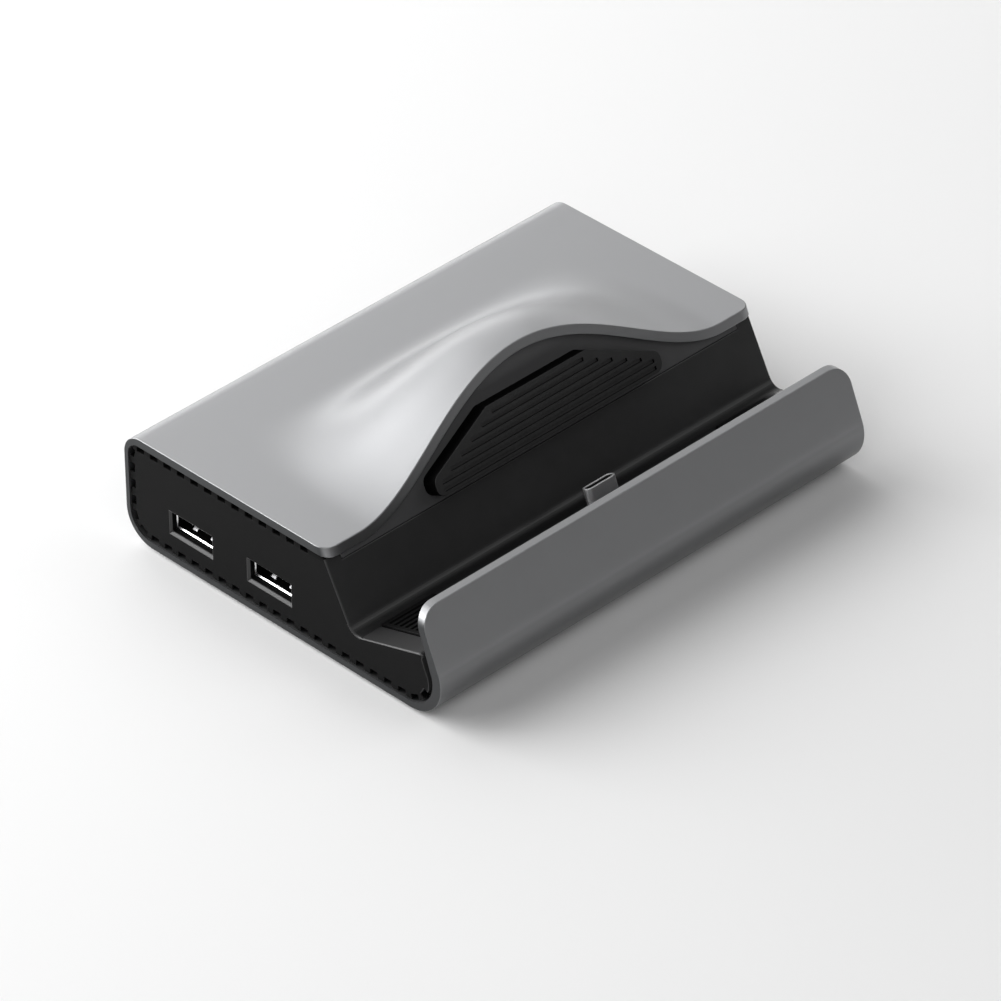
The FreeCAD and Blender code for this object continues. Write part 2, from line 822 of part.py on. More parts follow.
def pieces():
    return {
        "metal_shell": metal_shell(),
        "housing": housing(),
        "rest_insert": rest_insert(),
        "rest_pad": rest_pad(),
        "ledge_pad_left": ledge_pad_left(),
        "ledge_pad_right": ledge_pad_right(),
        "plug_shell": plug_shell(),
        "plug_insulator": plug_insulator(),
        "plug_carrier": plug_carrier(),
        "plug_board": plug_board(),
        "ribbon_cable": ribbon_cable(),
        "ribbon_socket": ribbon_socket(),
        "base_tray": base_tray(),
        "main_board": main_board(),
        "case_screws": case_screws(),
        "usb_socket_rear": usb_socket(usb_rear_y),
        "usb_tongue_rear": usb_tongue(usb_rear_y),
        "usb_socket_front": usb_socket(usb_front_y),
        "usb_tongue_front": usb_tongue(usb_front_y),
        "video_socket": video_socket(),
        "video_tongue": video_tongue(),
        "power_socket": power_socket(),
        "power_tongue": power_tongue(),
        "hub_chip": chip(hub_chip_x, board_back - hub_chip_back, hub_chip_side, chip_height),
        "video_chip": chip(video_chip_x, board_back - video_chip_back, video_chip_side, chip_height),
        "power_chip": chip(power_chip_x, board_front + power_chip_front, power_chip_side, chip_height),
        "coil": chip(coil_x, board_front + coil_front, coil_side, coil_height),
        "feet": feet(),
    }


os.makedirs("parts", exist_ok=True)
for name, shape in pieces().items():
    shape.translate(FreeCAD.Vector(0, 0, foot_proud))
    shape.exportStep(os.path.join("parts", name + ".step"))
    print(name, len(shape.Solids), round(shape.Volume, 2), shape.isValid())
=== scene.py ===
import math

import bmesh
import bpy
from mathutils import Matrix, Vector


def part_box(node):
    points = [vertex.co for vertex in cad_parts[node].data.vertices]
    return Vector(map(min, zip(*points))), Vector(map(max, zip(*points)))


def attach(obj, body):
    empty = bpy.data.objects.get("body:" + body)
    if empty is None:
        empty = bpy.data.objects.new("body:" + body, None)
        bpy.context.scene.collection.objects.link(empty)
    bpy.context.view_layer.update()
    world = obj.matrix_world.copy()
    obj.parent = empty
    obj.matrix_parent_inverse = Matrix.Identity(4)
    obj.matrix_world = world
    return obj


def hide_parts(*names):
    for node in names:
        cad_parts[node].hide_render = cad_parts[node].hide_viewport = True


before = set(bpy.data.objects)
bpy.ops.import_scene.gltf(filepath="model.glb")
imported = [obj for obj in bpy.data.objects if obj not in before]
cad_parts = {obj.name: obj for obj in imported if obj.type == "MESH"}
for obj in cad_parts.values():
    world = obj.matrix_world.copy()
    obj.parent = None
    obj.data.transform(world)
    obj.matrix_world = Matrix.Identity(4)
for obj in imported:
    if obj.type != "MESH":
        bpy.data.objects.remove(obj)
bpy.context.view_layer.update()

bpy.context.scene.view_settings.view_transform = "Standard"
mm = 0.001

# Sizes of the dock, in millimetres, with Z measured from the underside of the shell
foot_proud = 0.8
half_width = 61.5
half_depth = 46.0
deck = 26.0
plate = 2.0
back_wall = 1.3
floor = 1.7
back_top_radius = 5.0
back_low_radius = 7.5
plate_y = -13.5
edge_lean = math.radians(23.0)
plate_corner = 3.0
lip = 2.4
lip_lean = math.radians(22.5)
lip_top = 24.6
lip_top_thick = 1.87
lip_corner = 5.0
toe_radius = 8.7
rest_lean = math.radians(25.0)
rest_normal = Vector((0, -math.cos(rest_lean), math.sin(rest_lean)))
hump_rise = 17.393
hump_half_width = 52.0
hump_length = 41.5
hump_narrowing = 0.12
join_y = 30.0
end_x = 61.2
slope_top_y = -12.2
ledge_tip_y = -40.7
crease_z = 8.5
can_wall = 0.3
mouth_roll = 0.14
mouth_flare = 0.28
tip_roll = 0.2
plug_straight = 5.78
usb_mouth_x = -59.3
usb_rear_y = 26.85
usb_front_y = 3.6
usb_floor_z = 7.35
usb_tongue_z = 10.27
usb_middle_z = 10.66
groove_depth = 0.6
crest_y = plate_y + hump_rise * math.tan(edge_lean)
hump_back = plate_y + hump_length
screw_spots = ((-36.0, -29.0), (36.0, -29.0), (-36.0, 32.0), (36.0, 32.0))
screw_head_radius = 2.55
screw_head_depth = 0.9
screw_hole_radius = 1.4
cross_depth = 0.55


# Shader maths

class Value:
    """A socket of a material's nodes that can be reckoned with."""

    def __init__(self, finish, socket):
        self.finish = finish
        self.socket = socket

    def reckon(self, operation, first, second):
        return self.finish.node("ShaderNodeMath", {"operation": operation}, {0: first, 1: second})

    def __add__(self, other):
        return self.reckon("ADD", self, other)

    def __radd__(self, other):
        return self.reckon("ADD", other, self)

    def __sub__(self, other):
        return self.reckon("SUBTRACT", self, other)

    def __rsub__(self, other):
        return self.reckon("SUBTRACT", other, self)

    def __mul__(self, other):
        return self.reckon("MULTIPLY", self, other)

    def __rmul__(self, other):
        return self.reckon("MULTIPLY", other, self)

    def part(self, axis):
        return self.finish.node("ShaderNodeSeparateXYZ", {}, {0: self}, axis)


class Finish:
    """A material, the values set on its shader and the nodes that feed it."""

    def __init__(self, name, **constants):
        self.material = bpy.data.materials.new(name)
        self.material.use_nodes = True
        self.tree = self.material.node_tree
        self.shader = self.tree.nodes["Principled BSDF"]
        for socket, value in constants.items():
            self.shader.inputs[socket.replace("_", " ")].default_value = value
        self.place = self.node("ShaderNodeTexCoord", {}, {}, "Object")

    def node(self, kind, settings, sockets, output=0):
        made = self.tree.nodes.new(kind)
        for key, value in settings.items():
            if key == "stops":
                ramp = made.color_ramp
                ramp.elements[0].position, ramp.elements[0].color = value[0]
                ramp.elements[1].position, ramp.elements[1].color = value[-1]
                for position, colour in value[1:-1]:
                    ramp.elements.new(position).color = colour
            else:
                setattr(made, key, value)
        for key, value in sockets.items():
            if isinstance(value, Value):
                self.tree.links.new(value.socket, made.inputs[key])
            else:
                made.inputs[key].default_value = value
        return Value(self, made.outputs[output])

    def feed(self, socket, value):
        self.tree.links.new(value.socket, self.shader.inputs[socket])

    def noise(self, size, detail=2.0):
        """Soft noise whose lumps are about the size given in millimetres."""
        scale = 1 / (size * mm)
        return self.node("ShaderNodeTexNoise", {}, {"Vector": self.place, "Scale": scale, "Detail": detail})

    def stretched_noise(self, sizes):
        """Noise drawn out along an axis, with a size in millimetres along each."""
        scaled = self.node(
            "ShaderNodeVectorMath", {"operation": "MULTIPLY"},
            {0: self.place, 1: tuple(1 / (size * mm) for size in sizes)})
        return self.node("ShaderNodeTexNoise", {}, {"Vector": scaled, "Scale": 1.0, "Detail": 2.0})

    def between(self, amount, low, high):
        """A mix of two colours by an amount from 0 to 1."""
        ramp = [(0.0, (*low, 1.0)), (1.0, (*high, 1.0))]
        return self.node("ShaderNodeValToRGB", {"stops": ramp}, {"Fac": amount})

    def ramp(self, value, start, end):
        """From 0 to 1 with a soft start and end, as a value goes from start to end."""
        return self.node(
            "ShaderNodeMapRange", {"interpolation_type": "SMOOTHSTEP"},
            {"Value": value, "From Min": start, "From Max": end})

    def mixed(self, amount, first, second):
        """A mix of two colours, each a value or three numbers."""
        first, second = [colour if isinstance(colour, Value) else (*colour, 1.0) for colour in (first, second)]
        return self.node(
            "ShaderNodeMix", {"data_type": "RGBA"}, {"Factor": amount, 6: first, 7: second}, 2)

    def bumped(self, height, depth, strength=1.0):
        """Relief on the surface, with a depth in millimetres."""
        return self.node(
            "ShaderNodeBump", {}, {"Height": height, "Distance": depth * mm, "Strength": strength})


def shade(colour, by):
    return tuple(channel * by for channel in colour)


def mottled(name, colour, spread, roughness, rough_spread, grain, depth, **constants):
    """A finish whose colour, gloss and fine grain all vary a little."""
    made = Finish(name, **constants)
    cloudy = made.noise(grain * 40)
    fine = made.noise(grain)
    made.feed("Base Color", made.between(cloudy, shade(colour, 1 - spread), shade(colour, 1 + spread)))
    made.feed("Roughness", roughness - rough_spread / 2 + cloudy * rough_spread)
    made.feed("Normal", made.bumped(fine, depth))
    return made.material


def brushed(name, colour, roughness, streaks, depth, **constants):
    """Metal with fine streaks along one axis."""
    made = Finish(name, Metallic=1.0, **constants)
    lines = made.stretched_noise(streaks)
    made.feed("Base Color", made.between(lines, shade(colour, 0.92), shade(colour, 1.06)))
    made.feed("Roughness", roughness - 0.05 + lines * 0.1)
    made.feed("Normal", made.bumped(lines, depth))
    return made.material


def shell_finish():
    """Grey anodised aluminium, bead-blasted fine, with painted shade: near-black on the sheet's cut ends and darker
    on its toe.
    """
    made = Finish("anodised_aluminium", Metallic=1.0)
    cloudy, fine = made.noise(5.0), made.noise(0.12)
    facing = made.node("ShaderNodeTexCoord", {}, {}, "Normal")
    facing_end = facing.part("X")
    # The sheet's cut ends, facing along X, get a near-black colour: painted shade.
    cut_end_shade = made.ramp(facing_end * facing_end, 0.5, 0.95)
    # The toe below the lip's face gets a darker colour than the rest of the sheet: painted shade.
    above_toe = made.ramp(facing.part("Z"), 0.25, 0.378)
    behind_toe = made.ramp(made.place.part("Y"), (toe_radius - half_depth) * mm, (2 * toe_radius - half_depth) * mm)
    clear_of_toe_shade = above_toe.reckon("MAXIMUM", above_toe, behind_toe)
    sheet = made.between(cloudy, (0.314, 0.316, 0.323), (0.326, 0.329, 0.336))
    # Sheet colour, with painted shade on the toe and near-black painted shade on the cut ends.
    made.feed("Base Color", made.mixed(
        cut_end_shade, made.mixed(clear_of_toe_shade, (0.235, 0.237, 0.242), sheet), (0.066, 0.068, 0.070)))
    made.feed("Roughness", 0.40 + cloudy * 0.04)
    made.feed("Normal", made.bumped(fine, 0.0025))
    return made.material


shell_metal = shell_finish()
# A near-black copy of the anodised metal for the rounds inside the sheet's ends: painted shade.
shell_inner_edge_shade = mottled(
    "anodised_inner_edge_shade", (0.02, 0.0203, 0.021), 0.1, 0.5, 0.04, 0.12, 0.0025, Metallic=1.0)
# A slightly darker copy of the anodised metal for the lip's top face: painted shade.
shell_lip_top_shade = mottled(
    "anodised_lip_top_shade", (0.27, 0.272, 0.278), 0.03, 0.42, 0.04, 0.12, 0.0025, Metallic=1.0)
housing_black = mottled(
    "housing_plastic", (0.036, 0.036, 0.0364), 0.10, 0.34, 0.06, 0.10, 0.003, Specular_IOR_Level=0.5)
# A darker copy of the housing's plastic for the ledge: painted shade.
ledge_shade = mottled(
    "ledge_shade_plastic", (0.018, 0.018, 0.0182), 0.10, 0.38, 0.06, 0.10, 0.003, Specular_IOR_Level=0.4)
edge_black = mottled(
    "edge_plastic", (0.036, 0.036, 0.0366), 0.06, 0.38, 0.06, 0.10, 0.002, Specular_IOR_Level=0.42)
# A near-black copy of the housing's plastic for its notches and the apertures' walls: painted shade.
recess_shade = mottled(
    "recess_shade_plastic", (0.003, 0.003, 0.003), 0.10, 0.6, 0.06, 0.10, 0.004, Specular_IOR_Level=0.1)
insert_black = mottled(
    "insert_plastic", (0.088, 0.088, 0.090), 0.06, 0.42, 0.06, 0.10, 0.003, Specular_IOR_Level=0.4)
tray_black = mottled("tray_plastic", (0.012, 0.012, 0.012), 0.15, 0.5, 0.08, 0.15, 0.006)
rubber_black = mottled(
    "rib_rubber", (0.035, 0.035, 0.0353), 0.12, 0.6, 0.1, 0.08, 0.004, Specular_IOR_Level=0.25)
# A darker copy of the pad's rubber for its groove walls: painted shade.
rib_wall_shaded_rubber = mottled(
    "rib_wall_shaded_rubber", (0.016, 0.016, 0.0161), 0.12, 0.7, 0.1, 0.08, 0.004, Specular_IOR_Level=0.1)
# A lighter copy of the pad's rubber for its groove floors: painted light against the shade in the grooves.
rib_floor_lightened_rubber = mottled(
    "rib_floor_lightened_rubber", (0.042, 0.042, 0.0423), 0.12, 0.6, 0.1, 0.08, 0.004, Specular_IOR_Level=0.25)
# A near-black copy of the pad's rubber for its side walls and the groove ends facing left: painted shade.
pad_side_shade = mottled(
    "rib_rubber_side_shade", (0.0015, 0.0015, 0.0015), 0.2, 0.7, 0.1, 0.08, 0.005, Specular_IOR_Level=0.05)
ledge_rubber = mottled(
    "ledge_rubber", (0.004, 0.004, 0.0042), 0.2, 0.5, 0.1, 0.08, 0.005, Specular_IOR_Level=0.2)
foot_rubber = mottled("foot_rubber", (0.014, 0.014, 0.014), 0.2, 0.7, 0.1, 0.2, 0.015)
plug_steel = brushed("plug_nickel", (0.93, 0.93, 0.94), 0.42, (0.05, 2.0, 0.05), 0.001)
socket_steel = brushed("socket_tinplate", (0.75, 0.75, 0.76), 0.25, (2.0, 0.06, 0.06), 0.001)
# The spring tabs are a darker copy of the can's tinplate: painted shade inside the socket.
spring_steel_shade = brushed("spring_tinplate_shaded", (0.45, 0.45, 0.46), 0.5, (2.0, 0.06, 0.06), 0.001)
# A brighter copy of the can's tinplate for the band at its mouth: painted highlight.
mouth_highlight_steel = brushed("socket_mouth", (0.95, 0.95, 0.95), 0.3, (2.0, 0.06, 0.06), 0.0005)
# A near-black copy of the can's tinplate for its inside: painted shade.
socket_inside_shade = brushed("socket_tinplate_inside", (0.035, 0.035, 0.036), 0.45, (2.0, 0.06, 0.06), 0.001)
contact_gold = brushed("contact_gold", (0.83, 0.62, 0.28), 0.28, (0.5, 0.05, 0.05), 0.0005)
insulator_black = mottled("insulator_nylon", (0.009, 0.009, 0.009), 0.2, 0.5, 0.1, 0.1, 0.005)
connector_ivory = mottled("connector_nylon", (0.72, 0.69, 0.58), 0.03, 0.45, 0.08, 0.1, 0.004)
chip_black = mottled("chip_resin", (0.016, 0.016, 0.017), 0.2, 0.55, 0.1, 0.05, 0.004)
coil_grey = mottled("coil_ferrite", (0.09, 0.09, 0.095), 0.15, 0.6, 0.1, 0.12, 0.01)
screw_dark = brushed("screw_black_zinc", (0.05, 0.05, 0.052), 0.38, (0.1, 0.1, 2.0), 0.002)
ribbon_film = mottled("ribbon_film", (0.42, 0.2, 0.04), 0.08, 0.3, 0.06, 0.3, 0.002)


def board_finish():
    """Green solder mask over copper tracks."""
    made = Finish("solder_mask")
    tracks = made.node(
        "ShaderNodeTexVoronoi", {"distance": "MANHATTAN", "feature": "DISTANCE_TO_EDGE"},
        {"Vector": made.place, "Scale": 1 / (1.6 * mm)}, "Distance")
    line = made.node("ShaderNodeMath", {"operation": "LESS_THAN"}, {0: tracks, 1: 0.08})
    # The board's ends, past 58.7 mm from the middle, are painted near-black: painted shade.
    end = made.place.part("X")
    end = made.node("ShaderNodeMath", {"operation": "GREATER_THAN"}, {0: end * end, 1: (58.7 * mm) ** 2})
    mask = made.between(line, (0.008, 0.06, 0.028), (0.02, 0.12, 0.05))
    made.feed("Base Color", made.mixed(end, mask, (0.006, 0.006, 0.005)))
    made.feed("Roughness", 0.32 - line * 0.06)
    made.feed("Normal", made.bumped(line, 0.03))
    return made.material


def end_wall_shade_finish():
    """Black moulding for the end walls, darker than the rest of the housing as painted shade, and darker still in a
    band beside the shell's plate and back: a painted shadow of a groove.
    """
    made = Finish("end_wall_shade_plastic", Specular_IOR_Level=0.07)
    cloudy, fine = made.noise(4.0), made.noise(0.1)
    corner, wide, soft = 3.0, 1.25, 0.1
    aside = made.place.part("Y") - (half_depth - back_wall - corner) * mm
    above = made.place.part("Z") - (deck - plate - corner + foot_proud) * mm
    aside, above = aside.reckon("MAXIMUM", aside, 0.0), above.reckon("MAXIMUM", above, 0.0)
    # A band beside the plate and back is darker still, with no groove cut: painted shadow.
    groove_shadow = made.ramp(
        (aside * aside + above * above) * (1 / mm ** 2), (corner - wide - soft) ** 2, (corner - wide + soft) ** 2)
    wall = made.between(cloudy, (0.0038, 0.0038, 0.0039), (0.0046, 0.0046, 0.0047))
    made.feed("Base Color", made.mixed(groove_shadow, wall, (0.0012, 0.0012, 0.0012)))
    made.feed("Roughness", 0.47 + cloudy * 0.06)
    made.feed("Normal", made.bumped(fine, 0.004))
    return made.material


board_green = board_finish()
end_wall_shade = end_wall_shade_finish()


# Making pieces

def only(piece):
    bpy.ops.object.select_all(action="DESELECT")
    bpy.context.view_layer.objects.active = piece
    piece.select_set(True)


def finished(piece, name, material, nodes=()):
    """Name a piece, give it its material and let it ride with the dock."""
    piece.name = name
    piece.data.materials.clear()
    piece.data.materials.append(material)
    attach(piece, "root")
    if nodes:
        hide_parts(*nodes)
    return piece


def rounded_edges(piece, width, segments, sharp=35.0):
    """Round the sharp edges by a width in millimetres, and shade the rest smoothly."""
    only(piece)
    bpy.ops.object.shade_smooth_by_angle(angle=math.radians(sharp))
    bevel = piece.modifiers.new("edges", "BEVEL")
    bevel.width = width * mm
    bevel.segments = segments
    bevel.limit_method = "ANGLE"
    bevel.angle_limit = math.radians(sharp)
    bevel.use_clamp_overlap = False
    bevel.miter_outer = "MITER_ARC"
    bpy.ops.object.modifier_apply(modifier=bevel.name)
    flat = piece.modifiers.new("flat_faces", "WEIGHTED_NORMAL")
    flat.mode = "FACE_AREA"
    flat.weight = 90
    flat.keep_sharp = True
    bpy.ops.object.modifier_apply(modifier=flat.name)


def copy_of(node):
    """A CAD node's shape as an object of its own, with whole faces in place of loose triangles."""
    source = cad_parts[node]
    piece = bpy.data.objects.new(node + "_piece", source.data.copy())
    bpy.context.scene.collection.objects.link(piece)
    only(piece)
    bpy.ops.object.mode_set(mode="EDIT")
    bpy.ops.mesh.select_all(action="SELECT")
    bpy.ops.mesh.remove_doubles(threshold=0.0005 * mm)
    bpy.ops.mesh.dissolve_limited(angle_limit=math.radians(0.3))
    bpy.ops.object.mode_set(mode="OBJECT")
    return piece


def second_finish(piece, material, chosen):
    """Give another material to the faces that are chosen by their centre and normal."""
    piece.data.materials.append(material)
    for face in piece.data.polygons:
        if chosen(face.center / mm, face.normal):
            face.material_index = len(piece.data.materials) - 1


def pick(chosen, kind="edges"):
    """In edit mode, select the edges or faces whose corners are all chosen by their place in millimetres."""
    bpy.ops.mesh.select_all(action="DESELECT")
    mesh = bmesh.from_edit_mesh(bpy.context.object.data)
    for part in getattr(mesh, kind):
        if all(chosen(corner.co / mm) for corner in part.verts):
            part.select_set(True)
    bmesh.update_edit_mesh(bpy.context.object.data)


def settled(piece):
    """Bring a piece's place into its mesh."""
    only(piece)
    bpy.ops.object.transform_apply(location=True, rotation=True, scale=True)


def twin(piece, shift):
    """A copy with its own mesh, moved by a shift in millimetres."""
    made = piece.copy()
    made.data = piece.data.copy()
    made.data.transform(Matrix.Translation(Vector(shift) * mm))
    bpy.context.scene.collection.objects.link(made)
    return made


def joined(pieces):
    only(pieces[0])
    for piece in pieces:
        piece.select_set(True)
    bpy.ops.object.join()
    return pieces[0]


def leaf(y, width, route, thickness):
    """A leaf of sheet metal bent along a route of (x, z) points."""
    (x0, z0), (x1, z1) = route[:2]
    bpy.ops.mesh.primitive_plane_add(
        size=width * mm, location=((x0 + width / 2) * mm, y * mm, (z0 + foot_proud) * mm))
    piece = bpy.context.object
    settled(piece)
    bpy.ops.object.mode_set(mode="EDIT")
    pick(lambda corner: corner.x > x0 + width / 2)
    bpy.ops.transform.translate(value=((x1 - x0 - width) * mm, 0, (z1 - z0) * mm))
    for (xa, za), (xb, zb) in zip(route[1:], route[2:]):
        bpy.ops.mesh.extrude_region_move(
            TRANSFORM_OT_translate={"value": ((xb - xa) * mm, 0, (zb - za) * mm)})
    bpy.ops.mesh.select_all(action="SELECT")
    bpy.ops.mesh.normals_make_consistent(inside=False)
    bpy.ops.object.mode_set(mode="OBJECT")
    sheet = piece.modifiers.new("sheet", "SOLIDIFY")
    sheet.thickness = thickness * mm
    sheet.offset = 0
    bpy.ops.object.modifier_apply(modifier=sheet.name)
    rounded_edges(piece, thickness / 4, 2)
    return piece


def contact_row(mouth, inwards, y, z, width, pitch, count, length):
    """A row of flat contacts that starts inside a socket's mouth and runs inwards along X."""
    start = mouth + inwards * 1.6
    ends = sorted((start, start + inwards * length))
    first = leaf(y + pitch * (count - 1) / 2, width, [(ends[0], z), (ends[1], z)], 0.1)
    return [first] + [twin(first, (0, -pitch * i, 0)) for i in range(1, count)]


def moulded(node, name, material, width=0.15, segments=2, shaped=None):
    """A CAD node's shape with rounded edges, after a further step of shaping if one is given."""
    piece = copy_of(node)
    if shaped:
        shaped(piece)
    rounded_edges(piece, width, segments)
    return finished(piece, name, material, [node])


# Camera

def make_camera():
    """The photograph's view, fitted to the dock's straight edges."""
    azimuth, elevation, roll = math.radians(-44.568), math.radians(35.665), math.radians(-0.442)
    distance, aside, above = 1449.708, 0.544, 0.245
    image_side, focal = 1001.0, 7013.709
    back = Vector((
        math.sin(azimuth) * math.cos(elevation), -math.cos(azimuth) * math.cos(elevation),
        math.sin(elevation)))
    level = Vector((math.cos(azimuth), math.sin(azimuth), 0))
    upright = back.cross(level)
    right = level * math.cos(roll) + upright * math.sin(roll)
    up = upright * math.cos(roll) - level * math.sin(roll)
    eye = back * distance + right * aside + up * above + Vector((0, 0, foot_proud))
    data = bpy.data.cameras.new("camera")
    data.sensor_width = 36.0
    data.lens = focal / image_side * data.sensor_width
    data.clip_start, data.clip_end = 0.05, 20.0
    camera = bpy.data.objects.new("camera", data)
    bpy.context.scene.collection.objects.link(camera)
    camera.matrix_world = Matrix.Translation(eye * mm) @ Matrix((right, up, back)).transposed().to_4x4()
    bpy.context.scene.camera = camera


make_camera()


# Studio

def soft_light(name, azimuth, elevation, width, height, power):
    """A soft box that faces the dock. Azimuth 0 stands behind it, and 90 at its right end."""
    distance = 1.3
    a, e = math.radians(azimuth), math.radians(elevation)
    away = Vector((math.sin(a) * math.cos(e), math.cos(a) * math.cos(e), math.sin(e)))
    data = bpy.data.lights.new(name, "AREA")
    data.shape = "RECTANGLE"
    data.size, data.size_y = width, height
    data.energy = power
    light = bpy.data.objects.new(name, data)
    bpy.context.scene.collection.objects.link(light)
    light.location = away * distance
    light.rotation_mode = "QUATERNION"
    light.rotation_quaternion = away.to_track_quat("Z", "Y")


def make_floor():
    bpy.ops.mesh.primitive_plane_add(size=4.0, location=(0, 0, 0))
    ground = bpy.context.object
    ground.name = "floor"
    made = Finish("pale_floor")
    cloudy = made.noise(400)
    made.feed("Base Color", made.between(cloudy, (0.86, 0.86, 0.86), (0.88, 0.88, 0.88)))
    made.feed("Roughness", 0.9 - cloudy * 0.05)
    ground.data.materials.append(made.material)


def make_world():
    world = bpy.data.worlds.new("studio")
    world.use_nodes = True
    background = world.node_tree.nodes["Background"]
    background.inputs["Color"].default_value = (1, 1, 1, 1)
    background.inputs["Strength"].default_value = 0.02
    bpy.context.scene.world = world


make_floor()
make_world()
for azimuth, high_power, middle_power, low_power in ((-30, 2.9, 6.9, 4.9), (0, 1.6, 1.7, 3.2), (30, 1.3, 1.6, 2.0)):
    soft_light("high_box", azimuth, 52, 0.68, 0.5, high_power)
    soft_light("middle_box", azimuth, 30, 0.68, 0.5, middle_power)
    soft_light("low_box", azimuth, 8, 0.68, 0.3, low_power)
soft_light("right_middle_box", 60, 30, 0.68, 0.5, 1.08)
soft_light("right_low_box", 60, 8, 0.68, 0.3, 0.93)
soft_light("left_box", -60, 30, 0.68, 0.5, 5.6)
soft_light("front_right_box", 130, 45, 1.0, 0.9, 2.2)
soft_light("camera_fill", 215, 42, 1.1, 0.9, 4.5)


# Metal shell

def hump_at(x, y):
    along = (y - crest_y) / (hump_back - crest_y)
    reach = hump_half_width * (1 - hump_narrowing * max(along, 0) ** 2)
    across = x / reach
    return hump_rise * max(1 - across ** 2, 0) ** 2 * max(1 - abs(along) ** 3, 0) ** 3


def plate_level(x, y, drop):
    step = 0.01
    slope_x = (hump_at(x + step, y) - hump_at(x - step, y)) / (2 * step)
    slope_y = (hump_at(x, y + step) - hump_at(x, y - step)) / (2 * step)
    return deck + hump_at(x, y) - drop * math.sqrt(1 + slope_x ** 2 + slope_y ** 2)


def edge_y(x, drop):
    """Where the plate meets the leaning plane that cuts off its front."""
    y = plate_y
    for _ in range(25):
        y = plate_y + (plate_level(x, y, drop) - deck) * math.tan(edge_lean)
    return y


def arc(centre_y, centre_z, radius, start, end, count):
    points = []
    for i in range(count + 1):
        angle = math.radians(start + (end - start) * i / count)
        points.append((centre_y + radius * math.cos(angle), centre_z + radius * math.sin(angle)))
    return points


def run(start, end, count):
    return [
        (start[0] + (end[0] - start[0]) * i / count, start[1] + (end[1] - start[1]) * i / count)
        for i in range(1, count)]


def narrowed(distance, radius):
    """How far an end draws in for a rounded corner, at a distance from the edge."""
    if distance >= radius:
        return 0.0
    return radius - math.sqrt(radius ** 2 - (radius - distance) ** 2)


def wrap_points(inside):
    """Points of the bent sheet's outer or inner side, from the join round to the lip's top."""
    t = plate if inside else 0.0
    b = back_wall if inside else 0.0
    f = floor if inside else 0.0
    lean = math.tan(lip_lean)
    points = arc(half_depth - b - (back_top_radius - t), deck - back_top_radius, back_top_radius - t, 90, 0, 10)
    low = arc(half_depth - b - (back_low_radius - f), back_low_radius, back_low_radius - f, 0, -90, 12)
    points += run(points[-1], low[0], 4) + low
    toe_y = -half_depth + toe_radius
    toe_r = toe_radius - f
    if inside:
        toe_y += (toe_r - (toe_radius - lip)) / math.cos(lip_lean)
    toe = arc(toe_y, toe_radius, toe_r, -90, -180 - math.degrees(-lip_lean) - 2 * math.degrees(lip_lean), 16)
    points += run(points[-1], toe[0], 10) + toe
    top_thick = lip_top_thick if inside else 0.0
    face_y = -half_depth + toe_radius - toe_radius * math.tan((math.pi / 2 + lip_lean) / 2)
    angles = (90, 80, 70, 60, 50, 40, 30, 20, 0)
    rises = [lip_top - lip_corner * (1 - math.cos(math.radians(angle))) * math.cos(lip_lean) for angle in angles]
    top_points = [(face_y + z * lean + top_thick / math.cos(lip_lean), z) for z in rises]
    return points + run(points[-1], top_points[0], 6) + top_points


def shell_rows():
    """For each row of the sheet, what gives its outer and inner point at any X, and how far its ends draw in."""
    rows = []
    near = [plate_corner * (1 - math.cos(math.radians(angle))) for angle in (0, 30, 45, 60, 75)]
    steps = 44
    rows += [("near", distance) for distance in near]
    rows += [("far", i / steps) for i in range(steps)]
    rows.append(("far", 1.0))
    for i in range(1, 4):
        rows.append(("flat", join_y + (half_depth - back_top_radius - join_y) * i / 4))
    return rows


def plate_point(row, x, drop):
    kind, value = row
    if kind == "flat":
        return value, deck - drop
    front = edge_y(x, drop)
    y = front + value if kind == "near" else front + plate_corner + value * (join_y - front - plate_corner)
    return y, plate_level(x, y, drop)


